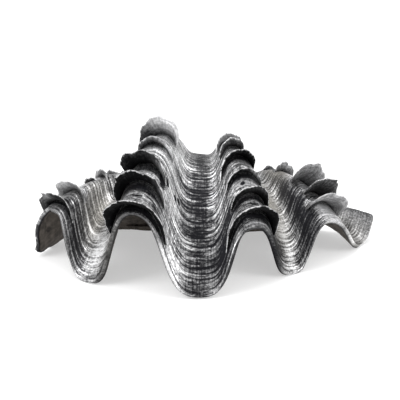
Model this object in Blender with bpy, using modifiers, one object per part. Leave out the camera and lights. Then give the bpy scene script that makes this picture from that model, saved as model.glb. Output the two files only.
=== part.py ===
"""One valve of a fluted giant clam, clad in silver, lying hollow side down on the tips of its margin.

The valve is a growth surface: its wavy margin is drawn once, and every earlier stage of the shell is the
same margin made smaller about the umbo and turned back over the hinge. The leaf-like scales on the ribs
are raised from that surface and fused to it, and a thick hinge plate closes the back.

Frame: +Z up, the hinge along X, the fan's front towards -Y, the origin under the middle of the shell.
"""

import math

import bmesh
import bpy
import numpy as np

MM = 0.001

# The margin from the left end of the hinge to the right end, in the plane where two valves would meet:
# bearing from the front in degrees, distance from the umbo and height off that plane in mm,
# how far the shell turns over the hinge on that line, in degrees, and how wide the fold's tip is.
# Ribs and furrows take turns.
MARGIN = (
    ("left_end", -90, 95, -3, 150, 1.0),
    ("rib_0", -82.6, 143, 12, 135, 1.4),
    ("furrow_0", -68.5, 194, -18.4, 140, 1.6),
    ("rib_1", -52.7, 202, 34.7, 106, 2.1),
    ("furrow_1", -34.9, 206, -35, 140, 1.6),
    ("rib_2", -19.3, 210, 42, 150, 1.2),
    ("furrow_2", -0.1, 211, -42, 150, 1.9),
    ("rib_3", 16.5, 195, 26, 152, 1.2),
    ("furrow_3", 34.2, 175, -31, 160, 1.6),
    ("rib_4", 49.9, 183, 22, 155, 0.85),
    ("furrow_4", 71.3, 191, -14, 150, 1.5),
    ("rib_5", 80.4, 197, 17, 150, 0.45),
    ("right_end", 90, 120, -1, 150, 1.0),
)
NAMES = [row[0] for row in MARGIN]
BEARING, REACH, HEIGHT, TURN, WIDTH = (np.array(column, float) for column in list(zip(*MARGIN))[1:])
FURROWS = np.array([i for i, name in enumerate(NAMES) if not name.startswith("rib")])

# How the shell stands and grows.
TILT = math.radians(10)  # the front of the meeting plane is held up by the furrow tips
UMBO = np.array((-2.0, 215.0, 7.0))  # umbo on the hinge, with the front furrow's tip near y = 0
TURN_POWER = 0.85  # how evenly the turn over the hinge is spread along the growth
EARLIEST = 0.05  # the smallest growth stage, as a share of the margin
FOOTPRINT_CENTRE = (5.76, 122.28)  # plan position of the middle of the shell's box

# Walls, in mm.
EDGE_WALL = 5.0
BODY_WALL = 9.0
WALL_SHARE = 0.12  # the wall is never thicker than this share of the distance to the umbo
RIB_FILL_FROM, RIB_FILL_TO, RIB_LEFT = 0.95, 0.45, 0.3  # inside, the ribs fade between these stages

# The scales of each rib, from the margin back: growth stage, length in mm, how far the root reaches down
# the left and the right flank (1 is the furrow's bottom), sideways lean and mean angle off the shell.
SCALES = {
    "rib_1": (
        (0.950, 20, 0.52, 0.46, -0.60, 65),
        (0.867, 17, 0.46, 0.44, -0.40, 68),
        (0.770, 5, 0.25, 0.30, 0.00, 60),
        (0.715, 10, 0.20, 0.41, 0.45, 85),
        (0.640, 7, 0.30, 0.30, 0.00, 75),
        (0.550, 7, 0.30, 0.30, 0.00, 75),
    ),
    "rib_2": (
        (0.979, 22, 0.47, 0.52, -0.28, 64),
        (0.925, 19.5, 0.42, 0.46, -0.16, 88),
        (0.868, 20, 0.31, 0.44, -0.40, 91),
        (0.768, 10, 0.33, 0.49, 0.20, 68),
        (0.677, 20, 0.46, 0.47, -0.20, 74),
        (0.570, 9, 0.35, 0.35, 0.00, 75),
        (0.470, 6, 0.35, 0.35, 0.00, 75),
    ),
    "rib_3": (
        (0.962, 17.5, 0.56, 0.51, 0.20, 75),
        (0.917, 17, 0.42, 0.46, -0.50, 88),
        (0.842, 9, 0.50, 0.47, -0.50, 74),
        (0.767, 11, 0.56, 0.39, -0.08, 69),
        (0.690, 11, 0.53, 0.26, -0.50, 81),
        (0.623, 12, 0.56, 0.34, -0.42, 83),
        (0.540, 9, 0.40, 0.35, 0.00, 78),
        (0.455, 8, 0.38, 0.35, 0.00, 80),
    ),
    "rib_4": (
        (0.917, 25, 0.35, 0.50, 0.45, 64),
        (0.869, 28, 0.22, 0.50, 0.08, 70),
        (0.790, 28, 0.30, 0.45, 0.08, 70),
        (0.670, 12, 0.33, 0.30, -0.07, 73),
        (0.570, 7, 0.30, 0.30, 0.00, 75),
    ),
}
# Scales whose rim rises to the right (+) or the left (-): rib and number from the margin, and by what share.
SLANT = {("rib_1", 2): -0.2, ("rib_2", 5): 0.4}
SCALE_CURL = math.radians(50)  # how much a scale curls up between its root and its rim
SCALE_ROOT, SCALE_RIM = 3.6, 1.8  # thickness of the sheet
SCALE_DEPTH = 3.5  # how deep the root is set in the wall

# Hinge plate along the back, in mm: its two ends, its back edge, its depth in the middle, its height,
# and the two blunt teeth on its underside.
HINGE_ENDS = (-92.0, 108.0)
HINGE_BACK = 216.0
HINGE_DEPTH = 22.0
HINGE_TOP = 12.6
HINGE_END_SHARE = 0.35  # how much of its depth is left at the ends
TOOTH_AT, TOOTH_WIDTH, TOOTH_DROP = (0.45, 0.66), 0.05, 4.0

GROUND = 0.8  # everything below this height is worn flat, so that the shell rests

# Fineness of the faceted solid.
VALVE_STEPS = (72, 14)
SCALE_STEPS = (8, 2)
HINGE_STEPS = (16, 3)
NUDGE = 1e-3


def along(values, u):
    """A smooth curve through values, the first at u = 0, the second at u = 1 and so on."""
    values = np.asarray(values, float)
    i = np.clip(np.floor(u).astype(int), 0, len(values) - 2)
    t = u - i
    before, here, after = values[np.maximum(i - 1, 0)], values[i], values[i + 1]
    beyond = values[np.minimum(i + 2, len(values) - 1)]
    return 0.5 * (
        2 * here
        + (after - before) * t
        + (2 * before - 5 * here + 4 * after - beyond) * t**2
        + (3 * here - 3 * after + beyond - before) * t**3
    )


def wave(u):
    """Height of the margin's fold at u, from furrow to rib and back, with round tips and steep flanks."""
    i = np.clip(np.floor(u).astype(int), 0, len(HEIGHT) - 2)
    swing = np.cos(np.pi * (u - i))
    width = WIDTH[i] * (1 + swing) / 2 + WIDTH[i + 1] * (1 - swing) / 2
    rise = 0.5 - 0.5 * np.tanh(width * swing) / np.tanh(width)
    return HEIGHT[i] + (HEIGHT[i + 1] - HEIGHT[i]) * rise


def furrow_level(u):
    """Height of the margin at u if it had no ribs."""
    return np.interp(u, FURROWS, HEIGHT[FURROWS])


def turned(points, angle):
    """Points turned about the hinge, the front rising."""
    y, z = points[..., 1], points[..., 2]
    c, s = np.cos(angle), np.sin(angle)
    return np.stack([points[..., 0], y * c + z * s, z * c - y * s], -1)


def growth_surface(u, k, rib_share=1.0):
    """The shell at position u along the margin and growth stage k, with its ribs at rib_share of their height."""
    bearing = np.radians(along(BEARING, u))
    reach = along(REACH, u)
    low = furrow_level(u)
    height = low + (wave(u) - low) * rib_share
    margin = np.stack([reach * np.sin(bearing), -reach * np.cos(bearing), height], -1)
    turn = np.radians(along(TURN, u)) * (1 - k**TURN_POWER)
    return turned(margin * k[..., None], turn + TILT) + UMBO


def directions(surface, p, q):
    """Unit vectors along p, along q and out of a surface where p runs right and q runs forward."""
    ahead = surface(p, q + NUDGE) - surface(p, q - NUDGE)
    aside = surface(p + NUDGE, q) - surface(p - NUDGE, q)
    out = np.cross(ahead, aside)
    return [v / np.linalg.norm(v, axis=-1, keepdims=True) for v in (aside, ahead, out)]


def smooth_step(x):
    x = np.clip(x, 0, 1)
    return x * x * (3 - 2 * x)


def valve_point(a, b, layer):
    """The valve's wall: a runs left to right, b from the margin back to the umbo, layer from outside to inside."""
    u = a * (len(MARGIN) - 1)
    k = 1 - (1 - EARLIEST) * b
    outside = growth_surface(u, k)
    filled = smooth_step((RIB_FILL_FROM - k) / (RIB_FILL_FROM - RIB_FILL_TO))
    rib_share = 1 - (1 - RIB_LEFT) * filled
    wall = np.minimum(EDGE_WALL + (BODY_WALL - EDGE_WALL) * filled, WALL_SHARE * k * along(REACH, u))

    def lining(p, q):
        return growth_surface(p, q, rib_share)

    inner_u = np.clip(u, 2 * NUDGE, len(MARGIN) - 1 - 2 * NUDGE)
    out = directions(lining, inner_u, k)[2]
    inside = lining(u, k) - out * wall[..., None]
    return outside + (inside - outside) * layer[..., None]


def flat_slab(name, steps):
    """A square sheet one unit wide and one thick, divided into steps, ready to be bent."""
    mesh = bpy.data.meshes.new(name)
    sheet = bmesh.new()
    bmesh.ops.create_grid(sheet, x_segments=steps[0], y_segments=steps[1], size=0.5)
    sheet.to_mesh(mesh)
    sheet.free()
    obj = bpy.data.objects.new(name, mesh)
    bpy.context.scene.collection.objects.link(obj)
    thickness = obj.modifiers.new("Thickness", "SOLIDIFY")
    thickness.thickness = 1.0
    thickness.offset = -1.0
    bpy.context.view_layer.update()
    evaluated = obj.evaluated_get(bpy.context.evaluated_depsgraph_get())
    solid = bpy.data.meshes.new_from_object(evaluated)
    obj.modifiers.clear()
    obj.data = solid
    bpy.data.meshes.remove(mesh)
    return obj


def bend(obj, place):
    """Moves each point of a flat slab to place(across, back, layer), given in mm."""
    flat = np.empty(len(obj.data.vertices) * 3)
    obj.data.vertices.foreach_get("co", flat)
    flat = flat.reshape(-1, 3)
    points = place(flat[:, 0] + 0.5, flat[:, 1] + 0.5, -flat[:, 2])
    points[:, 0] -= FOOTPRINT_CENTRE[0]
    points[:, 1] -= FOOTPRINT_CENTRE[1]
    points[:, 2] -= GROUND
    obj.data.vertices.foreach_set("co", (points * MM).ravel())
    obj.data.update()


def scale_outline(v, phase, slant):
    """Share of a scale's length at v across it, with a slightly broken rim."""
    chips = 0.05 * np.sin(7 * v + phase) + 0.04 * np.sin(13 * v + 2.3 * phase)
    return (1 - np.abs(v) ** 3.5) * (1 + chips + slant * v)


def scale_place(rib, stage, length, left, right, sideways, lean, phase, slant):
    """How a scale's slab is bent: it leaves the rib at its growth stage and curls up to stand off it."""
    crest = NAMES.index(rib)
    first, last = math.radians(lean) - SCALE_CURL / 2, math.radians(lean) + SCALE_CURL / 2

    def middle(a, b):
        v = 2 * a - 1
        u = crest + (left + right) / 2 * v + (right - left) / 2 * v * v
        k = np.full_like(u, stage)
        aside, ahead, out = directions(growth_surface, u, k)
        up = out + sideways * aside
        up /= np.linalg.norm(up, axis=-1, keepdims=True)
        whole = SCALE_DEPTH - 1.0 + (length + 1.0) * scale_outline(v, phase, slant)
        angle = first + SCALE_CURL * (1 - b)
        forward = (np.sin(angle) - math.sin(first)) * whole / SCALE_CURL
        upward = (math.cos(first) - np.cos(angle)) * whole / SCALE_CURL
        root = growth_surface(u, k) - SCALE_DEPTH * (math.cos(first) * ahead + math.sin(first) * out)
        return root + forward[:, None] * ahead + upward[:, None] * up

    def place(a, b, layer):
        centre = middle(a, b)
        aside = middle(np.minimum(a + NUDGE, 1), b) - middle(np.maximum(a - NUDGE, 0), b)
        back = middle(a, np.minimum(b + NUDGE, 1)) - middle(a, np.maximum(b - NUDGE, 0))
        out = np.cross(aside, back)
        out /= np.linalg.norm(out, axis=-1, keepdims=True)
        thickness = SCALE_RIM + (SCALE_ROOT - SCALE_RIM) * b
        return centre + out * (thickness * (0.5 - layer))[:, None]

    return place


def hinge_place(a, b, layer):
    """The bar along the hinge: a runs left to right, b from front to back, layer from top to bottom."""
    x = HINGE_ENDS[0] + (HINGE_ENDS[1] - HINGE_ENDS[0]) * a
    swell = np.sqrt(np.clip(1 - (2 * a - 1) ** 2, 0, 1))
    depth = HINGE_DEPTH * (HINGE_END_SHARE + (1 - HINGE_END_SHARE) * swell)
    y = HINGE_BACK - depth * (1 - b)
    teeth = sum(np.exp(-(((a - at) / TOOTH_WIDTH) ** 2)) for at in TOOTH_AT)
    bottom = GROUND - 1.0 + TOOTH_DROP * (1 - np.clip(teeth, 0, 1)) * (1 - b)
    top = HINGE_TOP * (0.75 + 0.25 * swell) - 3.0 * (1 - b)
    return np.stack([x, y, top + (bottom - top) * layer], -1)


def helper_collection(name):
    helpers = bpy.data.collections.new(name)
    bpy.context.scene.collection.children.link(helpers)
    return helpers


def into_helpers(obj, helpers):
    bpy.context.scene.collection.objects.unlink(obj)
    helpers.objects.link(obj)
    obj.hide_render = True
    obj.display_type = "WIRE"


def make_growths():
    """The scales and the hinge plate, each its own solid, in a collection that the valve takes in."""
    helpers = helper_collection("growths")
    for rib, rows in SCALES.items():
        for number, row in enumerate(rows, 1):
            scale = flat_slab(f"{rib}_scale_{number}", SCALE_STEPS)
            phase = 1.7 * number + NAMES.index(rib)
            bend(scale, scale_place(rib, *row, phase, SLANT.get((rib, number), 0)))
            into_helpers(scale, helpers)
    hinge = flat_slab("hinge_plate", HINGE_STEPS)
    bend(hinge, hinge_place)
    into_helpers(hinge, helpers)
    return helpers


def make_ground():
    """A block filling everything under the ground, to wear the lowest tips flat."""
    helpers = helper_collection("cutters")
    mesh = bpy.data.meshes.new("ground")
    block = bmesh.new()
    bmesh.ops.create_cube(block, size=0.6)
    bmesh.ops.translate(block, vec=(0, 0, -0.3), verts=block.verts)
    block.to_mesh(mesh)
    block.free()
    ground = bpy.data.objects.new("ground", mesh)
    bpy.context.scene.collection.objects.link(ground)
    into_helpers(ground, helpers)
    return ground


def silver():
    material = bpy.data.materials.new("silver_cladding")
    material.use_nodes = True
    shader = material.node_tree.nodes["Principled BSDF"]
    shader.inputs["Base Color"].default_value = (0.42, 0.42, 0.43, 1)
    shader.inputs["Metallic"].default_value = 1.0
    shader.inputs["Roughness"].default_value = 0.38
    return material


def main():
    for old in list(bpy.data.objects):
        bpy.data.objects.remove(old)
    valve = flat_slab("valve", VALVE_STEPS)
    bend(valve, valve_point)
    valve.data.materials.append(silver())
    own = bpy.data.collections.new("valve")
    bpy.context.scene.collection.children.link(own)
    bpy.context.scene.collection.objects.unlink(valve)
    own.objects.link(valve)

    union = valve.modifiers.new("Growths", "BOOLEAN")
    union.operation = "UNION"
    union.solver = "EXACT"
    union.operand_type = "COLLECTION"
    union.collection = make_growths()
    cut = valve.modifiers.new("Ground", "BOOLEAN")
    cut.operation = "DIFFERENCE"
    cut.solver = "EXACT"
    cut.object = make_ground()


main()
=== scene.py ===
"""The looks of one valve of a fluted giant clam, clad in silver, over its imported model.

The silver cladding, the natural shell under it and the scales all follow one growth surface: the shell's wavy
margin, made smaller about the umbo and turned back over the hinge for each earlier stage.
"""

import math

import bpy
import numpy as np
from bpy.props import FloatProperty, FloatVectorProperty, IntProperty, PointerProperty
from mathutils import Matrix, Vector


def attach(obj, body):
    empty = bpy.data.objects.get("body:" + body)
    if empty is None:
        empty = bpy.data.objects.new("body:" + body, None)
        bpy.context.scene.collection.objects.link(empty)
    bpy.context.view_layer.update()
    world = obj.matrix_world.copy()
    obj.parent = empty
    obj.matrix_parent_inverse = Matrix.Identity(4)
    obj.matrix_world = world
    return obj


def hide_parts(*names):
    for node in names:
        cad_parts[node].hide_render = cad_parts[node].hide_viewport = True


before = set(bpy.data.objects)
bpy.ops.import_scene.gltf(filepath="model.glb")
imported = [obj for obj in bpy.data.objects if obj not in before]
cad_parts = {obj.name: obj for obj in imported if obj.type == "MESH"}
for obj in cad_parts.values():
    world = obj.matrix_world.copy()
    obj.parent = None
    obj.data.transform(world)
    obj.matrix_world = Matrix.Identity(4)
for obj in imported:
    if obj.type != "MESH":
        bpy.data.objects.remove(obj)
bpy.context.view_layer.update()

bl_info = {
    "name": "Silver-clad Clam Valve",
    "version": (1, 0, 0),
    "blender": (4, 5, 0),
    "location": "View3D > Sidebar > Clam Valve",
    "description": "Builds a fluted clam valve with its silver cladding, scales and hinge plate",
    "category": "Add Mesh",
}

MM = 0.001

# The margin from the left end of the hinge to the right end, in the plane where two valves would meet:
# bearing from the front in degrees, distance from the umbo and height off that plane in mm,
# how far the shell turns over the hinge on that line, in degrees, and how wide the fold's tip is.
MARGIN = (
    ("left_end", -90, 95, -3, 150, 1.0),
    ("rib_0", -82.6, 143, 12, 135, 1.4),
    ("furrow_0", -68.5, 194, -18.4, 140, 1.6),
    ("rib_1", -52.7, 202, 34.7, 106, 2.1),
    ("furrow_1", -34.9, 206, -35, 140, 1.6),
    ("rib_2", -19.3, 210, 42, 150, 1.2),
    ("furrow_2", -0.1, 211, -42, 150, 1.9),
    ("rib_3", 16.5, 195, 26, 152, 1.2),
    ("furrow_3", 34.2, 175, -31, 160, 1.6),
    ("rib_4", 49.9, 183, 22, 155, 0.85),
    ("furrow_4", 71.3, 191, -14, 150, 1.5),
    ("rib_5", 80.4, 197, 17, 150, 0.45),
    ("right_end", 90, 120, -1, 150, 1.0),
)
NAMES = [row[0] for row in MARGIN]
BEARING, REACH, HEIGHT, TURN, WIDTH = (np.array(column, float) for column in list(zip(*MARGIN))[1:])
FURROWS = np.array([i for i, name in enumerate(NAMES) if not name.startswith("rib")])
FOLDS = len(MARGIN) - 1

# How the shell stands and grows, in mm.
TILT = math.radians(10)  # the front of the meeting plane is held up by the furrow tips
UMBO = np.array((-2.0, 215.0, 7.0))  # umbo on the hinge, with the front furrow's tip near y = 0
TURN_POWER = 0.85  # how evenly the turn over the hinge is spread along the growth
EARLIEST = 0.05  # the smallest growth stage, as a share of the margin
FOOTPRINT_CENTRE = (5.76, 122.28)  # plan position of the middle of the shell's box
GROUND = 0.8  # everything below this height is worn flat, so that the shell rests

# Walls, in mm.
EDGE_WALL = 5.0
BODY_WALL = 9.0
WALL_SHARE = 0.12  # the wall is never thicker than this share of the distance to the umbo
RIB_FILL_FROM, RIB_FILL_TO, RIB_LEFT = 0.95, 0.45, 0.3  # inside, the ribs fade between these stages

# The scales of each rib, from the margin back: growth stage, length in mm, how far the root reaches down
# the left and the right flank, sideways lean, mean angle off the shell, and how dark its hollow is, with
# patina and painted shade.
SCALES = {
    "rib_1": (
        (0.950, 20, 0.52, 0.46, -0.60, 65, 0.8),
        (0.867, 17, 0.46, 0.44, -0.40, 68, 0.35),
        (0.770, 5, 0.25, 0.30, 0.00, 60, 0.6),
        (0.715, 10, 0.20, 0.41, 0.45, 85, 0.35),
        (0.640, 7, 0.30, 0.30, 0.00, 75, 0.4),
        (0.550, 7, 0.30, 0.30, 0.00, 75, 0.4),
    ),
    "rib_2": (
        (0.979, 22, 0.47, 0.52, -0.28, 64, 1),
        (0.925, 19.5, 0.42, 0.46, -0.16, 88, 1),
        (0.868, 20, 0.31, 0.44, -0.40, 91, 0.9),
        (0.768, 10, 0.33, 0.49, 0.20, 68, 0.5),
        (0.677, 20, 0.46, 0.47, -0.20, 74, 0.35),
        (0.570, 9, 0.35, 0.35, 0.00, 75, 0.5),
        (0.470, 6, 0.35, 0.35, 0.00, 75, 0.5),
    ),
    "rib_3": (
        (0.962, 17.5, 0.56, 0.51, 0.20, 75, 1),
        (0.917, 17, 0.42, 0.46, -0.50, 88, 1),
        (0.842, 9, 0.50, 0.47, -0.50, 74, 0.9),
        (0.767, 11, 0.56, 0.39, -0.08, 69, 0.9),
        (0.690, 11, 0.53, 0.26, -0.50, 81, 0.6),
        (0.623, 12, 0.56, 0.34, -0.42, 83, 0.4),
        (0.540, 9, 0.40, 0.35, 0.00, 78, 0.5),
        (0.455, 8, 0.38, 0.35, 0.00, 80, 0.5),
    ),
    "rib_4": (
        (0.917, 25, 0.35, 0.50, 0.45, 64, 0.2),
        (0.869, 28, 0.22, 0.50, 0.08, 70, 0.6),
        (0.790, 28, 0.30, 0.45, 0.08, 70, 0.35),
        (0.670, 12, 0.33, 0.30, -0.07, 73, 0.5),
        (0.570, 7, 0.30, 0.30, 0.00, 75, 0.5),
    ),
}
# Scales whose rim rises to the right (+) or the left (-): rib and number from the margin, and by what share.
SLANT = {("rib_1", 2): -0.2, ("rib_2", 5): 0.4}
SCALE_CURL = math.radians(50)  # how much a scale curls up between its root and its rim
SCALE_DEPTH = 3.5  # how deep the root is set in the wall, in mm
SCALE_GRAIN = 24  # length in mm of the scale on which its growth lines are as close as drawn
HALF_SCALE = 30  # mm from the middle of a scale to its side, as its worn rim takes it

# Hinge plate along the back, in mm: its two ends, its back edge, its depth in the middle, its height,
# and the two blunt teeth on its underside.
HINGE_ENDS = (-92.0, 108.0)
HINGE_BACK = 216.0
HINGE_DEPTH = 22.0
HINGE_TOP = 12.6
HINGE_END_SHARE = 0.35  # how much of its depth is left at the ends
HINGE_ROUNDING = 1.6  # how far its back edge is rounded
TOOTH_AT, TOOTH_WIDTH, TOOTH_DROP = (0.45, 0.66), 0.05, 4.0

NUDGE = 1e-3  # the step over which directions on a surface are taken
SMALLEST = 1e-9
FLOOR_GAP = 0.02  # the worn flats stand this many mm over the floor, so that the two don't flicker
ROW_POWER = 1.12  # above 1, the rows across the growth are closer together at the margin

# Ridges in the growth: how many mm apart along it, how deep in mm, and the seed of their breaks.
RIDGES = ((15.0, 0.24, 3), (5.6, 0.34, 4), (3.0, 0.26, 5))
GROWTH_LENGTH = 300  # mm along the growth from the umbo to the margin

# The cladding is folded over the lip down to the first of these rows, and has run out at the second.
LIP_ROWS = (3, 8)
KEPT_ROWS = (0, 1, 3)  # the cladding's inner side keeps these rows, one in KEPT_EVERY and the last two
KEPT_EVERY = 8
LIP_LIGHT, LIP_SHADE = 0.14, -0.16  # the lip is worn bright along its outer edge, and its inner side is darker with painted shade
SHADE_AHEAD, SHADE_SPREAD, SHADE_DARK = 0.009, 0.010, 0.52  # painted shade in the corner in front of each scale's root
CALM_SHARE, CALM_SPREAD = 0.45, 0.34  # the growth lines are fainter over each rib, this far to either side
CALM_END = 0.72  # and fainter still on the flap at the right end
RAGGED = 0.009  # how deep the notches of the torn flap at the left end are, as a share of the growth
RAGGED_AT, RAGGED_SPREAD = 2.3, 0.45  # where they are along the margin
CHIPPED = 0.0012  # how much the rest of the margin is chipped, in the same terms
# Where the margin is broken back (+) or stands out (-): place along it, spread, and share of the growth.
BROKEN = ((2.50, 0.19, -0.034), (1.98, 0.24, 0.034), (2.80, 0.08, 0.012))
LIP_INSET = 0.009  # how far back from the margin the natural shell's wall starts, as a growth stage
RIM_POWER = 2.8  # how squarely the rim of a scale runs across it
TIP_LENGTH = 0.42  # how much of a scale runs straight to its rim
SKIRT = 0.030  # how far behind its place a scale's sheet leaves the shell, as a growth stage
RIM_WEAR = 1.6  # the rim of a scale is worn bright this many mm deep

SILVER_RAMP = ((0.0, 0.0), (0.25, 0.045), (0.5, 0.21), (0.75, 0.52), (1.0, 1.0))  # how much silver shows, for the wear together with its painted highlights and shade
SPECKLE = 520.0  # how fine the silver's specks are; the bright specks are partly painted glints

# The camera: how high over the front furrow's tip and how far from it, how far down and left it looks.
TIP = Vector((-FOOTPRINT_CENTRE[0], -FOOTPRINT_CENTRE[1], 0.0)) * MM
CAMERA_RISE = math.radians(23)
CAMERA_DISTANCE = 1100 * MM
CAMERA_DIP = math.radians(17.81)
CAMERA_SWING = math.radians(0.157)
CAMERA_LENS = 98.6

FLOOR_GLOW = 0.45  # the floor is a white sheet lit from below, so shadows on it stay pale
# The soft lights: place and size in metres, and power in watts. All aim at one place.
SOFTBOXES = {
    "left_softbox": ((-0.9, -0.5, 0.9), (0.7, 0.7), 9),
    "right_softbox": ((1.0, -0.6, 0.7), (0.5, 0.6), 5),
    "top_softbox": ((0.0, 0.3, 1.3), (0.9, 0.6), 7),
}
LIGHT_AIM = (0, 0, 0.05)


def along(values, u):
    """A smooth curve through values, the first at u = 0, the second at u = 1 and so on."""
    values = np.asarray(values, float)
    i = np.clip(np.floor(u).astype(int), 0, len(values) - 2)
    t = u - i
    before, here, after = values[np.maximum(i - 1, 0)], values[i], values[i + 1]
    beyond = values[np.minimum(i + 2, len(values) - 1)]
    return 0.5 * (
        2 * here
        + (after - before) * t
        + (2 * before - 5 * here + 4 * after - beyond) * t**2
        + (3 * here - 3 * after + beyond - before) * t**3
    )


def wave(u):
    """Height of the margin's fold at u, from furrow to rib and back, with round tips and steep flanks."""
    i = np.clip(np.floor(u).astype(int), 0, len(HEIGHT) - 2)
    swing = np.cos(np.pi * (u - i))
    width = WIDTH[i] * (1 + swing) / 2 + WIDTH[i + 1] * (1 - swing) / 2
    rise = 0.5 - 0.5 * np.tanh(width * swing) / np.tanh(width)
    return HEIGHT[i] + (HEIGHT[i + 1] - HEIGHT[i]) * rise


def furrow_level(u):
    """Height of the line through the furrows' bottoms at u."""
    return np.interp(u, FURROWS, HEIGHT[FURROWS])


def turned(points, angle):
    """Points turned about the hinge, the front rising."""
    y, z = points[..., 1], points[..., 2]
    c, s = np.cos(angle), np.sin(angle)
    return np.stack([points[..., 0], y * c + z * s, z * c - y * s], -1)


def growth_surface(u, k, rib_share=1.0):
    """The shell at position u along the margin and growth stage k, its ribs at rib_share of their height."""
    bearing = np.radians(along(BEARING, u))
    reach = along(REACH, u)
    low = furrow_level(u)
    height = low + (wave(u) - low) * rib_share
    margin = np.stack([reach * np.sin(bearing), -reach * np.cos(bearing), height], -1)
    turn = np.radians(along(TURN, u)) * (1 - k**TURN_POWER)
    return turned(margin * k[..., None], turn + TILT) + UMBO


def directions(surface, p, q):
    """Unit vectors along p, along q and out of a surface where p runs right and q runs forward."""
    ahead = surface(p, q + NUDGE) - surface(p, q - NUDGE)
    aside = surface(p + NUDGE, q) - surface(p - NUDGE, q)
    out = np.cross(ahead, aside)
    return [v / np.linalg.norm(v, axis=-1, keepdims=True) for v in (aside, ahead, out)]


def smooth_step(x):
    """0 below 0, 1 above 1 and smooth between."""
    x = np.clip(x, 0, 1)
    return x * x * (3 - 2 * x)


def noise(x, y, seed):
    """Smooth noise between -1 and 1 with a cell one unit wide, the same each time."""

    def corner(i, j):
        value = np.sin(i * 127.1 + j * 311.7 + seed * 74.7) * 43758.5453
        return 2 * (value - np.floor(value)) - 1

    i, j = np.floor(x), np.floor(y)
    s, t = smooth_step(x - i), smooth_step(y - j)
    low = corner(i, j) * (1 - s) + corner(i + 1, j) * s
    high = corner(i, j + 1) * (1 - s) + corner(i + 1, j + 1) * s
    return low * (1 - t) + high * t


def broken_margin(u):
    """How much of the last growth stage has broken off the margin, or less than 0 where it stands out."""
    still = np.zeros_like(u)
    broken = CHIPPED * noise(u * 5, still, 53)
    for u0, spread, amount in BROKEN:
        broken = broken + amount * np.exp(-(((u - u0) / spread) ** 2))
    ragged = noise(u * 7, still, 51) + 0.7 * noise(u * 19, still, 52)
    return broken + RAGGED * np.exp(-(((u - RAGGED_AT) / RAGGED_SPREAD) ** 4)) * ragged


def growth_stage(u, b, inset=0.0):
    """The growth stage at b of the way back from the margin, which starts inset from the edge."""
    last = 1 - broken_margin(u) - inset
    return last - (last - EARLIEST) * b**ROW_POWER


def growth_relief(u, k):
    """Height in mm of the growth ridges over the plain surface: steps, finer ridges and their breaks."""
    path = GROWTH_LENGTH * k + 1.6 * noise(u * 3, k * 9, 1) + 0.8 * noise(u * 9, k * 20, 2)
    ridge = 0.0
    for spacing, depth, seed in RIDGES:
        phase = path / spacing + 0.4 * noise(u * 1.3, k * 6, seed + 10)
        saw = phase - np.floor(phase)
        share = 0.65 + 0.35 * noise(u * 2.1, phase.round(0) * 1.7, seed)
        ridge = ridge + depth * share * (np.minimum(saw * 1.25, (1 - saw) * 5) - 0.5)
    return ridge + 0.25 * noise(u * 5, k * 30, 7)


def wall_inside(u, k):
    """The shell's inner surface, with the ribs fading towards the umbo."""
    filled = smooth_step((RIB_FILL_FROM - k) / (RIB_FILL_FROM - RIB_FILL_TO))
    rib_share = 1 - (1 - RIB_LEFT) * filled
    wall = np.minimum(EDGE_WALL + (BODY_WALL - EDGE_WALL) * filled, WALL_SHARE * k * along(REACH, u))

    def lining(p, q):
        return growth_surface(p, q, rib_share)

    inner_u = np.clip(u, 2 * NUDGE, FOLDS - 2 * NUDGE)
    out = directions(lining, inner_u, k)[2]
    return lining(u, k) - out * wall[..., None]


def to_metres(points):
    """Points in the part's own frame: its footprint's middle at the origin, its worn flats on the ground."""
    moved = points - np.array((FOOTPRINT_CENTRE[0], FOOTPRINT_CENTRE[1], GROUND))
    moved[..., 2] = np.maximum(moved[..., 2], FLOOR_GAP)
    return moved * MM


def deselect_all():
    """Leaves edit mode, with nothing selected."""
    if bpy.context.object and bpy.context.object.mode != "OBJECT":
        bpy.ops.object.mode_set(mode="OBJECT")
    bpy.ops.object.select_all(action="DESELECT")


def flat_slab(name, steps):
    """A flat slab of steps[0] by steps[1] squares, one unit wide and one thick, ready to be bent."""
    deselect_all()
    bpy.ops.mesh.primitive_grid_add(x_subdivisions=steps[0], y_subdivisions=steps[1], size=1.0)
    slab = bpy.context.object
    slab.name = name
    slab.data.name = name
    thickness = slab.modifiers.new("Thickness", "SOLIDIFY")
    thickness.thickness = 1.0
    thickness.offset = -1.0
    bpy.ops.object.modifier_apply(modifier="Thickness")
    return slab


def slab_places(slab):
    """Where each point of a flat slab lies across it, along it and through it, each from 0 to 1."""
    flat = np.empty(len(slab.data.vertices) * 3)
    slab.data.vertices.foreach_get("co", flat)
    flat = flat.reshape(-1, 3)
    return flat[:, 0] + 0.5, flat[:, 1] + 0.5, -flat[:, 2]


def set_points(obj, points):
    """Moves the points of a mesh to places given in mm."""
    obj.data.vertices.foreach_set("co", to_metres(points).ravel())
    obj.data.update()


def set_values(obj, **values):
    """Numbers kept on each point of a mesh, which the materials read by name."""
    for name, numbers in values.items():
        layer = obj.data.attributes.new(name, "FLOAT", "POINT")
        layer.data.foreach_set("value", np.asarray(numbers, np.float32))


def finish_piece(obj, material):
    """Shades a piece, paints it and puts it on the part's root body."""
    deselect_all()
    obj.select_set(True)
    bpy.context.view_layer.objects.active = obj
    bpy.ops.object.shade_smooth_by_angle(angle=math.radians(50))
    obj.data.materials.clear()
    obj.data.materials.append(material)
    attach(obj, "root")
    return obj


def join_all(objects, name):
    """Several meshes made one, under one name."""
    deselect_all()
    for obj in objects:
        obj.select_set(True)
    bpy.context.view_layer.objects.active = objects[0]
    bpy.ops.object.join()
    whole = bpy.context.object
    whole.name = name
    whole.data.name = name
    return whole


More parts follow.
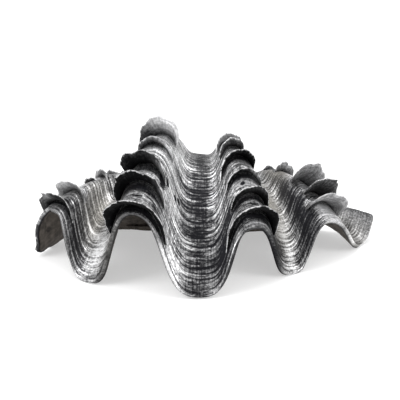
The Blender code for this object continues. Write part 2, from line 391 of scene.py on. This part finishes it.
class Value:
    """A shader socket that Python's operators work on."""

    def __init__(self, nodes, socket):
        self.nodes = nodes
        self.socket = socket

    def _maths(self, operation, other, other_first=False):
        first, second = (other, self) if other_first else (self, other)
        return self.nodes.add("ShaderNodeMath", {"operation": operation}, {0: first, 1: second})[0]

    def __add__(self, other):
        return self._maths("ADD", other)

    def __radd__(self, other):
        return self._maths("ADD", other, True)

    def __sub__(self, other):
        return self._maths("SUBTRACT", other)

    def __rsub__(self, other):
        return self._maths("SUBTRACT", other, True)

    def __mul__(self, other):
        return self._maths("MULTIPLY", other)

    def __rmul__(self, other):
        return self._maths("MULTIPLY", other, True)

    def __pow__(self, other):
        return self._maths("POWER", other)


class Nodes:
    """A material's node tree, with one way to add a node."""

    def __init__(self, name):
        self.material = bpy.data.materials.new(name)
        self.material.use_nodes = True
        self.tree = self.material.node_tree
        self.shader = self.tree.nodes["Principled BSDF"]

    def add(self, kind, settings, inputs):
        """Adds a node and returns its outputs; settings are set before its sockets are filled."""
        node = self.tree.nodes.new(kind)
        for key, value in settings.items():
            if key == "stops":
                self._set_stops(node.color_ramp, value)
            else:
                setattr(node, key, value)
        for key, value in inputs.items():
            self.connect(node.inputs[key], value)
        return [Value(self, socket) for socket in node.outputs if socket.enabled]

    def _set_stops(self, ramp, stops):
        while len(ramp.elements) < len(stops):
            ramp.elements.new(0.5)
        for element, (position, level) in zip(ramp.elements, stops):
            element.position = position
            colour = (level,) * 3 if isinstance(level, (int, float)) else tuple(level)[:3]
            element.color = (*colour, 1)

    def connect(self, socket, value):
        if isinstance(value, Value):
            self.tree.links.new(value.socket, socket)
        elif hasattr(socket.default_value, "__len__"):
            socket.default_value = (*tuple(value)[:3], 1)[: len(socket.default_value)]
        else:
            socket.default_value = value

    def attribute(self, name):
        """A number kept on the mesh's points."""
        return self.add("ShaderNodeAttribute", {"attribute_name": name}, {})[2]

    def place(self):
        """The place on the object."""
        return self.add("ShaderNodeTexCoord", {}, {})[3]

    def point(self, x, y, z=0.0):
        return self.add("ShaderNodeCombineXYZ", {}, {0: x, 1: y, 2: z})[0]

    def grain(self, where, scale, detail=3.0, roughness=0.5, distortion=0.0):
        settings = {"noise_dimensions": "3D"}
        inputs = {"Vector": where, "Scale": scale, "Detail": detail}
        inputs.update({"Roughness": roughness, "Distortion": distortion})
        return self.add("ShaderNodeTexNoise", settings, inputs)[0]

    def speckle(self):
        """Fine specks of grain, the same size in the cladding and the scales; the bright ones are also
        painted glints.
        """
        return self.grain(self.place(), SPECKLE, 3.0, 0.7)

    def spot(self, x, y, x0, y0, half_x, half_y):
        """1 at a place, falling to 0 at an oval around it."""
        away = ((x - x0) * (1 / half_x)) ** 2 + ((y - y0) * (1 / half_y)) ** 2
        return self.add("ShaderNodeMath", {"operation": "MAXIMUM"}, {0: 1 - away * 0.5, 1: 0.0})[0]

    def sine(self, value):
        return self.add("ShaderNodeMath", {"operation": "SINE"}, {0: value})[0]

    def curve(self, value, *stops):
        """A value passed through a ramp of (position, level) stops."""
        return self.add("ShaderNodeValToRGB", {"stops": stops}, {0: value})[0]

    def blend(self, share, first, second, mode="MIX"):
        settings = {"data_type": "RGBA", "blend_type": mode, "clamp_factor": True}
        node = self.tree.nodes.new("ShaderNodeMix")
        for key, value in settings.items():
            setattr(node, key, value)
        sockets = [s for s in node.inputs if s.enabled]
        for socket, value in zip(sockets, (share, first, second)):
            self.connect(socket, value)
        return Value(self, next(s for s in node.outputs if s.enabled))

    def bump(self, height, strength, distance, under=None):
        inputs = {"Height": height, "Strength": strength, "Distance": distance}
        if under is not None:
            inputs["Normal"] = under
        return self.add("ShaderNodeBump", {}, inputs)[0]

    def finish(self, **sockets):
        """Fills the shader's sockets, named in lower case, and returns the material."""
        for name, value in sockets.items():
            self.connect(self.shader.inputs[name.replace("_", " ").title()], value)
        return self.material


# Painted highlights and painted shade on the cladding, by how the light falls on each flank, mixed with wear:
# place along the margin, growth stage, how far the patch spreads each way, and how much brighter (+) or
# darker (-) it is.
LIGHT_AND_WEAR_PATCHES = (
    (3.30, 0.94, 0.22, 0.05, -0.28),  # rib 1, right of its crest, at the lip
    (3.05, 0.81, 0.20, 0.07, 0.35),  # rib 1, back
    (3.62, 0.96, 0.18, 0.06, -0.31),  # furrow 1, left flank at the lip
    (4.00, 0.92, 0.28, 0.06, 0.45),  # furrow 1, bright bottom
    (4.40, 0.95, 0.15, 0.05, -0.55),  # furrow 1, right flank at the lip
    (5.00, 0.955, 0.35, 0.016, 0.36),  # rib 2, bright top behind the first scale
    (5.00, 0.890, 0.35, 0.020, 0.30),  # rib 2, bright top behind the second scale
    (5.00, 0.790, 0.35, 0.025, 0.25),  # rib 2, bright top behind the third scale
    (5.00, 0.690, 0.35, 0.030, 0.20),  # rib 2, bright top behind the fourth scale
    (5.52, 0.86, 0.15, 0.25, 0.22),  # furrow 2, left flank
    (5.52, 0.53, 0.15, 0.10, 0.36),  # furrow 2, left flank, back
    (5.60, 0.985, 0.10, 0.025, 0.22),  # furrow 2, left of its bottom at the lip
    (6.00, 0.80, 0.17, 0.35, -0.42),  # furrow 2, dark bottom
    (6.10, 0.78, 0.20, 0.025, -0.14),  # furrow 2, dark band across
    (6.42, 0.94, 0.17, 0.05, -0.66),  # furrow 2, right flank at the lip
    (6.52, 0.90, 0.10, 0.05, -0.24),  # furrow 2, right flank by the first scale
    (6.30, 0.67, 0.12, 0.06, 0.20),  # furrow 2, right flank
    (6.40, 0.47, 0.40, 0.07, -0.30),  # furrow 2, right flank, back
    (7.00, 0.940, 0.35, 0.016, 0.34),  # rib 3, bright top behind the first scale
    (7.00, 0.880, 0.35, 0.016, 0.12),  # rib 3, bright top behind the second scale
    (7.55, 0.96, 0.12, 0.05, -0.55),  # furrow 3, left flank at the lip
    (8.02, 0.90, 0.16, 0.09, 0.44),  # furrow 3, bright bottom
    (8.10, 0.72, 0.22, 0.10, 0.10),  # furrow 3, bright bottom, back
    (8.25, 0.96, 0.12, 0.05, -0.28),  # furrow 3, right of its bottom at the lip
    (8.52, 0.86, 0.14, 0.20, -0.60),  # furrow 3, dark right flank
    (8.72, 0.94, 0.10, 0.09, -0.34),  # rib 4, left flank at the lip
    (8.92, 0.75, 0.14, 0.13, 0.46),  # rib 4, left of its crest
    (9.05, 0.89, 0.25, 0.02, 0.32),  # rib 4, bright top behind the first scale
    (9.08, 0.95, 0.24, 0.06, 0.72),  # rib 4, bright crest and right of it
    (10.15, 0.98, 0.18, 0.03, 0.26),  # furrow 4, lip
    (10.30, 0.885, 0.12, 0.03, -0.35),  # furrow 4, right flank
    (10.85, 0.90, 0.20, 0.20, -0.16),  # rib 5, left flank
    (11.50, 0.95, 0.45, 0.12, -0.06),  # right end
)
# Where the shell's own beige shows through the thin cladding, in the same terms.
WARM = (
    (7.90, 0.76, 0.34, 0.15, 0.75),
    (3.65, 0.80, 0.30, 0.09, 0.5),
    (4.50, 0.80, 0.25, 0.20, 0.5),
    (8.75, 0.66, 0.30, 0.08, 0.6),
    (9.90, 0.80, 0.50, 0.30, 0.4),
)
# How bright the lip is, its inner side darkened as painted shade: place along the margin, spread, and how
# much brighter or darker.
LIP_BRIGHTNESS = (
    (2.25, 0.40, -0.35),
    (3.1, 0.40, 0.36),
    (5.1, 0.50, 0.27),
    (7.0, 0.45, -0.50),
    (9.0, 0.40, 0.10),
)
# Small holes broken through the growth lines: place along the margin, growth stage and half width each way.
PITS = (
    (5.37, 0.872, 0.05, 0.022),
    (5.43, 0.852, 0.03, 0.010),
    (5.56, 0.838, 0.022, 0.006),
    (5.61, 0.826, 0.022, 0.008),
    (6.20, 0.900, 0.014, 0.004),
    (6.33, 0.893, 0.018, 0.004),
    (6.88, 0.877, 0.05, 0.006),
)
# Painted highlights and painted shade on single scales, on a side that faces the light or turns from it: rib,
# number from the margin, place across the scale from -1 to 1, place up it from root 0 to rim 1, spread across
# and up, and how much brighter or darker.
SCALE_PAINTED_LIGHT = (
    ("rib_1", 1, -0.1, 0.8, 0.5, 0.3, 0.30),
    ("rib_1", 1, 0.5, 0.4, 0.3, 0.5, -0.40),
    ("rib_1", 2, 0.0, 0.6, 1.0, 0.8, 0.12),
    ("rib_1", 4, -0.4, 0.6, 0.5, 0.8, 0.20),
    ("rib_2", 2, 0.8, 0.8, 0.2, 0.3, 0.45),
    ("rib_2", 3, 0.8, 0.7, 0.25, 0.4, 0.45),
    ("rib_2", 4, 0.6, 0.6, 0.35, 0.6, 0.45),
    ("rib_2", 5, 0.45, 0.6, 0.55, 0.9, 0.30),
    ("rib_2", 5, -0.7, 0.6, 0.55, 0.8, -0.40),
    ("rib_3", 2, 0.4, 0.9, 0.4, 0.2, 0.20),
    ("rib_3", 3, 0.5, 0.7, 0.4, 0.4, 0.50),
    ("rib_4", 1, 0.1, 0.9, 0.9, 0.35, -0.06),
    ("rib_4", 1, 0.2, 0.1, 0.6, 0.3, -0.30),
    ("rib_4", 3, 0.0, 0.6, 0.8, 0.6, 0.08),
    ("rib_4", 4, 0.0, 0.7, 0.8, 0.5, 0.22),
)


def patches(rows, u, k):
    """The summed brightness of patches that fade out from their centres."""
    total = np.zeros_like(u)
    for u0, k0, spread_u, spread_k, amount in rows:
        total += amount * np.exp(-(((u - u0) / spread_u) ** 2) - ((k - k0) / spread_k) ** 2)
    return total


class ClamValveSettings(bpy.types.PropertyGroup):
    cladding_wall: FloatProperty(
        name="Cladding wall", description="Thickness of the silver layer", default=0.0012, unit="LENGTH"
    )
    relief: FloatProperty(
        name="Growth relief", description="Height of the growth ridges, 1 as on the real shell", default=1.0
    )
    scale_rim: FloatProperty(
        name="Scale rim", description="Thickness of a scale at its rim", default=0.0010, unit="LENGTH"
    )
    scale_root: FloatProperty(
        name="Scale root", description="Thickness of a scale at its root", default=0.0032, unit="LENGTH"
    )
    fineness: IntProperty(
        name="Fineness", description="Squares across the cladding between two folds", default=22, min=8
    )
    silver: FloatVectorProperty(
        name="Silver", description="Worn silver", subtype="COLOR", default=(0.93, 0.93, 0.94)
    )
    patina: FloatVectorProperty(
        name="Patina", description="Oxidised silver", subtype="COLOR", default=(0.010, 0.010, 0.012)
    )
    # Colour of the scales' hollows: their patina, darkened further as painted shade.
    hollow_shade: FloatVectorProperty(
        name="Soot",
        description="Blackened hollows of the scales",
        subtype="COLOR",
        default=(0.003, 0.003, 0.0035),
    )
    beige: FloatVectorProperty(
        name="Beige",
        description="Shell showing through the cladding",
        subtype="COLOR",
        default=(0.33, 0.31, 0.27),
    )
    # The bare shell's colour is kept dark as painted shade for its inside under the arches.
    shell: FloatVectorProperty(
        name="Shell", description="Bare natural shell", subtype="COLOR", default=(0.058, 0.050, 0.043)
    )
    floor: FloatVectorProperty(
        name="Floor", description="Plain pale floor", subtype="COLOR", default=(0.6, 0.6, 0.6)
    )


def settings():
    """The add-on's own settings."""
    return bpy.context.scene.clam_valve


def shade(colour, factor):
    """A colour made darker or lighter."""
    return tuple(part * factor for part in colour)


def scale_root_shade(u, k):
    """How far painted shade darkens the cladding in the corner under each scale."""
    hollow_shade = np.zeros_like(u)
    for rib, rows in SCALES.items():
        for stage, _, left, right, _, _, hollow in rows:
            centre = NAMES.index(rib) + (right - left) / 2
            across = np.exp(-(((u - centre) * 2.4 / (left + right)) ** 4))
            hollow_shade += hollow * across * np.exp(-(((k - stage - SHADE_AHEAD) / SHADE_SPREAD) ** 2))
    return np.clip(hollow_shade, 0, 1)


def silver_cladding():
    """Oxidised silver over the growth lines: bright on worn ridges, near black between them, with painted
    highlights and painted shade over its flanks and lip.
    """
    own = settings()
    m = Nodes("silver_cladding")
    along_margin, growth = m.attribute("along"), m.attribute("growth")
    tone, warm, crest = m.attribute("tone"), m.attribute("warm"), m.attribute("crest")
    lip = m.attribute("lip")
    bands = m.grain(m.point(along_margin * 1.1, growth * 40), 1.0, 2.0, 0.5)
    lines = m.grain(m.point(along_margin * 1.5, growth * 150), 1.0, 2.0, 0.6, 0.15)
    streaks = m.grain(m.point(along_margin * 11.0, growth * 300), 1.0, 3.0, 0.65, 0.2)
    rings = m.sine(growth * 430 + bands * 9 + along_margin * 0.7)
    striae = m.grain(m.point(along_margin * 48, growth * 9), 1.0, 2.0, 0.6)
    speckle = m.speckle()
    pits = m.grain(m.place(), 170.0, 3.0, 0.6)
    grooves = bands * 0.16 + lines * 0.50 + streaks * 0.34
    ridged = (grooves - 0.5) * 3.9 + rings * 0.11 + (striae - 0.5) * 0.7 + crest * 0.5
    smooth = (1 - m.attribute("calm")) * (1 - warm * 0.4)
    # Painted highlights and painted shade from the patches and the lip are added here, with the wear.
    worn = ridged * smooth * (1 - lip * 0.75) + (speckle - 0.5) * (1.0 - lip * 0.5) + tone + 0.45
    # Painted shade: the inner side of the folded lip is darker still.
    worn = worn - m.curve(lip, (0.6, 0.0), (0.95, 1.0)) * 0.4
    broken = sum(m.spot(along_margin, growth, *row) for row in PITS)
    worn = worn - m.curve(broken + (speckle - 0.5) * 1.5, (0.45, 0.0), (0.75, 1.0)) * 1.2
    share = m.curve(worn, *SILVER_RAMP)
    colour = m.blend(share, own.patina, own.silver)
    bare = m.curve(worn, (0.1, 0.0), (0.9, 1.0))
    beige = m.blend(bare, shade(own.beige, 0.35), shade(own.beige, 1.6))
    colour = m.blend(warm, colour, beige)
    dirt = m.curve(pits, (0.24, 1.0), (0.30, 0.0))
    colour = m.blend(dirt * 0.8, colour, own.patina)
    height = lines * 0.5 + streaks * 0.4 + speckle * 0.14 + dirt * -0.5
    normal = m.bump(height * (1.0 - lip * 0.6), 0.9, 0.0012)
    metal, rough = 0.95 - 0.6 * warm, 0.5 - 0.22 * share
    return m.finish(base_color=colour, metallic=metal, roughness=rough, normal=normal)


def scale_silver():
    """The scales: dark in their hollows from patina and painted shade, bright along the worn rims."""
    own = settings()
    m = Nodes("scale_silver")
    across, rise = m.attribute("across"), m.attribute("rise")
    underside, hollow, rim = m.attribute("underside"), m.attribute("hollow"), m.attribute("rim")
    height_up, tone = m.attribute("height"), m.attribute("tone")
    lines = m.grain(m.point(across * 3.4, rise * 15, hollow * 9), 1.0, 3.0, 0.6, 0.3)
    flutes = m.grain(m.point(across * 13, rise * 2.0, hollow * 7), 1.0, 3.0, 0.6)
    speckle = m.speckle()
    outer = (lines - 0.5) * 2.6 + (flutes - 0.5) * 1.0 + (speckle - 0.5) * 0.9 + 0.5
    # Painted shade with patina: the hollow side is darker for a deeper hollow and towards the root.
    inner = (flutes - 0.5) * 0.45 + (lines - 0.5) * 0.5 + (speckle - 0.5) * 0.4 + 0.66 - hollow * 0.8
    inner = inner + (height_up - 0.55) * 0.4
    # Painted highlights and painted shade of single scales are added here.
    worn = outer + underside * (inner - outer) + tone
    edge = m.curve(rim + (speckle - 0.5) * 1.4 + (flutes - 0.5) * 2.0, (0.5, 0.0), (0.95, 1.0))
    worn = worn + edge * (0.8 - worn)
    share = m.curve(worn, *SILVER_RAMP)
    # The hollows blend the patina towards the near-black painted shade.
    dark = m.blend(underside * hollow, own.patina, own.hollow_shade)
    colour = m.blend(share, dark, own.silver)
    height = lines * 0.5 + flutes * 0.4 + speckle * 0.2
    normal = m.bump(height, 0.6, 0.0009)
    return m.finish(base_color=colour, metallic=0.9, roughness=0.68 - 0.33 * share, normal=normal)


def bare_shell():
    """Natural shell: matt grey-brown, mottled and banded along its growth, its colour darkened as painted
    shade.
    """
    own = settings()
    m = Nodes("bare_shell")
    along_margin, growth = m.attribute("along"), m.attribute("growth")
    bands = m.grain(m.point(along_margin * 1.5, growth * 60), 1.0, 4.0, 0.6, 0.3)
    rays = m.grain(m.point(along_margin * 14, growth * 6), 1.0, 3.0, 0.6, 0.5)
    mottle = m.grain(m.place(), 75.0, 4.0, 0.6, 0.6)
    speckle = m.grain(m.place(), 380.0, 4.0, 0.7)
    grown = bands * 0.25 + rays * 0.35 + mottle * 0.4
    dark, pale = shade(own.shell, 0.2), shade(own.shell, 1.9)
    colour = m.blend(m.curve(grown, (0.38, 0.0), (0.62, 1.0)), dark, pale)
    colour = m.blend((speckle - 0.42) * 1.3, colour, pale)
    height = bands * 0.4 + rays * 0.2 + mottle * 0.5 + speckle * 0.25
    m.shader.inputs["IOR"].default_value = 1.35
    return m.finish(base_color=colour, roughness=0.8, normal=m.bump(height, 0.8, 0.002))


def coarsen_inside(slab, kept_rows, rows):
    """Dissolves the slab's inner rows but every few, because its inner side is smooth or hidden."""
    deselect_all()
    slab.select_set(True)
    bpy.context.view_layer.objects.active = slab
    bpy.ops.object.mode_set(mode="EDIT")
    bpy.ops.mesh.select_mode(type="EDGE")
    bpy.ops.mesh.select_all(action="DESELECT")
    bpy.ops.object.mode_set(mode="OBJECT")
    _, back, layer = slab_places(slab)
    row = np.round(back * rows).astype(int)
    drop = (layer > 0.5) & ~np.isin(row, kept_rows)
    ends = np.empty(len(slab.data.edges) * 2, int)
    slab.data.edges.foreach_get("vertices", ends)
    ends = ends.reshape(-1, 2)
    same_row = row[ends[:, 0]] == row[ends[:, 1]]
    chosen = same_row & (drop[ends[:, 0]] | drop[ends[:, 1]])
    slab.data.edges.foreach_set("select", chosen)
    bpy.ops.object.mode_set(mode="EDIT")
    bpy.ops.mesh.dissolve_edges(use_verts=True)
    bpy.ops.object.mode_set(mode="OBJECT")


class CLAM_OT_silver_cladding(bpy.types.Operator):
    """Builds the silver layer over the shell's outside, with its growth ridges"""

    bl_idname = "clam.silver_cladding"
    bl_label = "Silver cladding"
    bl_options = {"REGISTER", "UNDO"}

    def execute(self, context):
        own = settings()
        steps = (own.fineness * FOLDS, 320)
        slab = flat_slab("silver_cladding", steps)
        kept = [*KEPT_ROWS, *range(KEPT_EVERY, steps[1], KEPT_EVERY), steps[1] - 1, steps[1]]
        coarsen_inside(slab, kept, steps[1])
        a, b, layer = slab_places(slab)
        u = a * FOLDS
        k = growth_stage(u, b)
        safe_u = np.clip(u, 2 * NUDGE, FOLDS - 2 * NUDGE)
        out = directions(growth_surface, safe_u, k)[2]
        ridges = own.relief * growth_relief(u, k) * smooth_step(k * 4)
        edge = np.minimum(b * steps[1] / LIP_ROWS[0], 1)
        folded = 1 - smooth_step((b * steps[1] - LIP_ROWS[0]) / (LIP_ROWS[1] - LIP_ROWS[0]))
        wall = own.cladding_wall / MM * (1 - folded) + EDGE_WALL * folded
        # Painted shade on the lip's inner side, brighter or darker place by place.
        lip_brightness = sum(amount * np.exp(-(((u - u0) / spread) ** 2)) for u0, spread, amount in LIP_BRIGHTNESS)
        lip_light = (LIP_LIGHT + np.minimum(lip_brightness, 0) * 0.6) * (1 - smooth_step(edge))
        lip = np.where(layer < 0.5, lip_light, LIP_SHADE + lip_brightness * folded)
        ribs = sum(np.exp(-(((u - rib) / CALM_SPREAD) ** 2)) for rib in range(1, FOLDS, 2))
        depth = np.where(layer < 0.5, ridges * (0.4 + 0.6 * edge), -wall)
        set_points(slab, growth_surface(u, k) + out * depth[:, None])
        fade = smooth_step(k * 2)
        set_values(
            slab,
            along=u,
            growth=k,
            # Painted highlights and shade from the patches, the lip's painted shade and the painted shade in
            # front of each scale's root.
            tone=patches(LIGHT_AND_WEAR_PATCHES, u, k) * fade + lip - SHADE_DARK * scale_root_shade(u, k),
            warm=np.clip(patches(WARM, u, k), 0, 1) * fade,
            crest=np.clip(ridges, -1, 1),
            lip=np.where(layer < 0.5, 0, folded),
            calm=np.maximum(CALM_SHARE * ribs, CALM_END * smooth_step((u - 10) * 2)),
        )
        piece = finish_piece(slab, silver_cladding())
        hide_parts("valve")
        return {"FINISHED"}


class CLAM_OT_shell_wall(bpy.types.Operator):
    """Builds the natural shell under the cladding, whose inner side and lip show"""

    bl_idname = "clam.shell_wall"
    bl_label = "Shell wall"
    bl_options = {"REGISTER", "UNDO"}

    def execute(self, context):
        own = settings()
        slab = flat_slab("shell_wall", (20 * FOLDS, 84))
        a, b, layer = slab_places(slab)
        u = a * FOLDS
        k = growth_stage(u, b, LIP_INSET)
        safe_u = np.clip(u, 2 * NUDGE, FOLDS - 2 * NUDGE)
        out = directions(growth_surface, safe_u, k)[2]
        outside = growth_surface(u, k) - out * (own.cladding_wall / MM * 0.6)
        inside = wall_inside(u, k)
        wrinkle = 0.35 * noise(u * 6, k * 14, 21) + 0.25 * noise(u * 2, k * 70, 22)
        inside = inside + out * (wrinkle * smooth_step(b * 12))[:, None]
        set_points(slab, outside + (inside - outside) * layer[:, None])
        set_values(slab, along=u, growth=k)
        finish_piece(slab, bare_shell())
        return {"FINISHED"}


def broken_rim(v, phase, slant):
    """Share of a scale's length at v across it: full in the middle, with a chipped edge."""
    worn = 0.05 * np.sin(7 * v + phase) + 0.04 * np.sin(13 * v + 2.3 * phase)
    nicks = -0.16 * smooth_step(noise(v * 5 + phase, phase, 31) * 3 - 1.2)
    chipped = nicks + 0.035 * noise(v * 8, phase, 34) + 0.03 * noise(v * 19, phase, 32)
    return (1 - np.abs(v) ** RIM_POWER) * (1 + worn + chipped + slant * v)


def scale_sheet(rib, row, number):
    """One scale: it leaves the rib along its growth and curls up to its rim."""
    own = settings()
    stage, length, left, right, sideways, lean, hollow = row
    phase = 1.7 * number + NAMES.index(rib)
    crest = NAMES.index(rib)
    first, last = math.radians(lean) - SCALE_CURL / 2, math.radians(lean) + SCALE_CURL / 2
    sheet = flat_slab(f"{rib}_scale_{number}", (56, 22))
    a, b, layer = slab_places(sheet)

    def middle(a, b):
        v = 2 * a - 1
        u = crest + (left + right) / 2 * v + (right - left) / 2 * v * v
        k = np.full_like(u, stage)
        aside, ahead, out = directions(growth_surface, u, k)
        up = out + sideways * aside
        up /= np.linalg.norm(up, axis=-1, keepdims=True)
        share = broken_rim(v, phase, SLANT.get((rib, number), 0))
        whole = SCALE_DEPTH - 1.0 + (length + 1.0) * share
        forward = (math.sin(last) - math.sin(first)) * whole / SCALE_CURL
        upward = (math.cos(first) - math.cos(last)) * whole / SCALE_CURL
        root = growth_surface(u, k) - SCALE_DEPTH * (math.cos(first) * ahead + math.sin(first) * out)
        rim = root + forward[:, None] * ahead + upward[:, None] * up
        behind = np.minimum(SKIRT, 0.45 * stage)
        stands = smooth_step(share * 2.5)
        start = growth_surface(u, k - behind) - out * (1.2 + 0.8 * (1 - stands))[:, None]
        knee = growth_surface(u, k - 0.004) + out * (0.5 * stands - 1.2 * (1 - stands))[:, None]
        tip = math.cos(last) * ahead + math.sin(last) * up
        shoulder = rim - tip * (TIP_LENGTH * whole)[:, None]
        s = (1 - b)[:, None]
        r = 1 - s
        curve = r**3 * start + 3 * r * r * s * knee + 3 * r * s * s * shoulder + s**3 * rim
        flutes = 0.1 * np.sin(v * 15 + phase) + 0.15 * noise(v * 9, phase, 35)
        flutes = flutes + 0.7 * noise(v * 3.2, phase, 33)
        ripples = 0.22 * np.sin((1 - b) * 30 + 1.5 * np.sin(3 * v + phase))
        lift = flutes * (1 - b) ** 1.5 + ripples * (1 - b)
        return curve - 0.8 * ahead * lift[:, None]

    centre = middle(a, b)
    aside = middle(np.minimum(a + NUDGE, 1), b) - middle(np.maximum(a - NUDGE, 0), b)
    back = middle(a, np.minimum(b + NUDGE, 1)) - middle(a, np.maximum(b - NUDGE, 0))
    out = np.cross(aside, back)
    out /= np.maximum(np.linalg.norm(out, axis=-1, keepdims=True), SMALLEST)
    rim_mm, root_mm = own.scale_rim / MM, own.scale_root / MM
    thickness = rim_mm + (root_mm - rim_mm) * b**0.8
    thickness = thickness * (1 - 0.45 * np.maximum(1 - b * 22, 0) ** 2)
    set_points(sheet, centre + out * (thickness * (0.5 - layer))[:, None])
    v = 2 * a - 1
    from_rim = np.minimum(b * length, (1 - np.abs(v)) * HALF_SCALE)
    set_values(
        sheet,
        across=v + number,
        rise=(1 - b) * length / SCALE_GRAIN,
        underside=layer,
        hollow=np.full_like(a, hollow),
        rim=np.clip(1 - from_rim / RIM_WEAR, 0, 1),
        height=1 - b,
        # Painted highlights and painted shade on this scale.
        tone=patches([row[2:] for row in SCALE_PAINTED_LIGHT if row[:2] == (rib, number)], v, 1 - b),
    )
    return sheet


class CLAM_OT_scales(bpy.types.Operator):
    """Builds the leaf-like scales of each rib as one piece"""

    bl_idname = "clam.scales"
    bl_label = "Scales"
    bl_options = {"REGISTER", "UNDO"}

    def execute(self, context):
        material = scale_silver()
        for rib, rows in SCALES.items():
            sheets = [scale_sheet(rib, row, number) for number, row in enumerate(rows, 1)]
            finish_piece(join_all(sheets, f"{rib}_scales"), material)
        return {"FINISHED"}


class CLAM_OT_hinge_plate(bpy.types.Operator):
    """Builds the thick plate along the hinge, with its two blunt teeth"""

    bl_idname = "clam.hinge_plate"
    bl_label = "Hinge plate"
    bl_options = {"REGISTER", "UNDO"}

    def execute(self, context):
        slab = flat_slab("hinge_plate", (120, 18))
        a, b, layer = slab_places(slab)
        x = HINGE_ENDS[0] + (HINGE_ENDS[1] - HINGE_ENDS[0]) * a
        swell = np.sqrt(np.clip(1 - (2 * a - 1) ** 2, 0, 1))
        depth = HINGE_DEPTH * (HINGE_END_SHARE + (1 - HINGE_END_SHARE) * swell)
        y = HINGE_BACK - depth * (1 - b)
        teeth = sum(np.exp(-(((a - at) / TOOTH_WIDTH) ** 2)) for at in TOOTH_AT)
        bottom = GROUND - 1.0 + TOOTH_DROP * (1 - np.clip(teeth, 0, 1)) * (1 - b)
        top = HINGE_TOP * (0.75 + 0.25 * swell) - 3.0 * (1 - b)
        rounded = HINGE_ROUNDING * (1 - smooth_step(b * 5)) * (1 - np.abs(2 * layer - 1))
        z = top + (bottom - top) * layer
        rough = 0.35 * noise(x / 6, z / 5 + b * 4, 41)
        set_points(slab, np.stack([x, y - rounded + rough * (1 - b), z + rough * 0.4], -1))
        set_values(slab, along=a * 3, growth=0.3 + 0.2 * b)
        finish_piece(slab, bare_shell())
        return {"FINISHED"}


def area_light(name, place, size, power):
    """A soft rectangular light aimed at the shell."""
    deselect_all()
    bpy.ops.object.light_add(type="AREA", location=place)
    lamp = bpy.context.object
    lamp.name = name
    lamp.data.shape = "RECTANGLE"
    lamp.data.size, lamp.data.size_y = size
    lamp.data.energy = power
    lamp.rotation_euler = (Vector(LIGHT_AIM) - Vector(place)).to_track_quat("-Z", "Y").to_euler()
    return lamp


class CLAM_OT_studio(bpy.types.Operator):
    """Lays the pale floor and sets the soft lights and the camera"""

    bl_idname = "clam.studio"
    bl_label = "Studio"
    bl_options = {"REGISTER", "UNDO"}

    def execute(self, context):
        own = settings()
        deselect_all()
        bpy.ops.mesh.primitive_plane_add(size=30.0, location=(0, 0, -0.0002))
        floor = bpy.context.object
        floor.name = "floor"
        bpy.ops.object.transform_apply(location=True, rotation=True, scale=True)
        paint = Nodes("floor_paint")
        glow = {"emission_color": (1, 1, 1), "emission_strength": FLOOR_GLOW}
        floor.data.materials.append(paint.finish(base_color=own.floor, roughness=0.9, **glow))

        world = bpy.data.worlds.new("studio_air")
        world.use_nodes = True
        world.node_tree.nodes["Background"].inputs["Color"].default_value = (1, 1, 1, 1)
        world.node_tree.nodes["Background"].inputs["Strength"].default_value = 1.0
        context.scene.world = world
        context.scene.view_settings.view_transform = "Standard"
        for name, (place, size, power) in SOFTBOXES.items():
            area_light(name, place, size, power)

        deselect_all()
        back = Vector((0, -math.cos(CAMERA_RISE), math.sin(CAMERA_RISE)))
        place = TIP + back * CAMERA_DISTANCE
        bpy.ops.object.camera_add(location=place)
        camera = bpy.context.object
        camera.name = "camera"
        dip, swing = CAMERA_DIP, CAMERA_SWING
        look = Vector((-math.sin(swing) * math.cos(dip), math.cos(swing) * math.cos(dip), -math.sin(dip)))
        camera.rotation_euler = look.to_track_quat("-Z", "Y").to_euler()
        camera.data.sensor_width = 36.0
        camera.data.lens = CAMERA_LENS
        camera.data.dof.use_dof = False
        context.scene.camera = camera
        return {"FINISHED"}


class CLAM_PT_sidebar(bpy.types.Panel):
    bl_idname = "CLAM_PT_sidebar"
    bl_label = "Clam Valve"
    bl_space_type = "VIEW_3D"
    bl_region_type = "UI"
    bl_category = "Clam Valve"

    def draw(self, context):
        for name in ClamValveSettings.__annotations__:
            self.layout.prop(context.scene.clam_valve, name)
        for operator in OPERATORS:
            self.layout.operator(operator.bl_idname)


OPERATORS = (
    CLAM_OT_silver_cladding,
    CLAM_OT_shell_wall,
    CLAM_OT_scales,
    CLAM_OT_hinge_plate,
    CLAM_OT_studio,
)


def register():
    """Adds the settings, the operators and the panel."""
    for kind in (ClamValveSettings, *OPERATORS, CLAM_PT_sidebar):
        bpy.utils.register_class(kind)
    bpy.types.Scene.clam_valve = PointerProperty(type=ClamValveSettings)


def unregister():
    """Takes away what register added."""
    del bpy.types.Scene.clam_valve
    for kind in (CLAM_PT_sidebar, *reversed(OPERATORS), ClamValveSettings):
        bpy.utils.unregister_class(kind)


def main():
    """Builds every piece, the floor, the lights and the camera."""
    register()
    bpy.ops.clam.silver_cladding()
    bpy.ops.clam.shell_wall()
    bpy.ops.clam.scales()
    bpy.ops.clam.hinge_plate()
    bpy.ops.clam.studio()


if __name__ == "__main__":
    main()
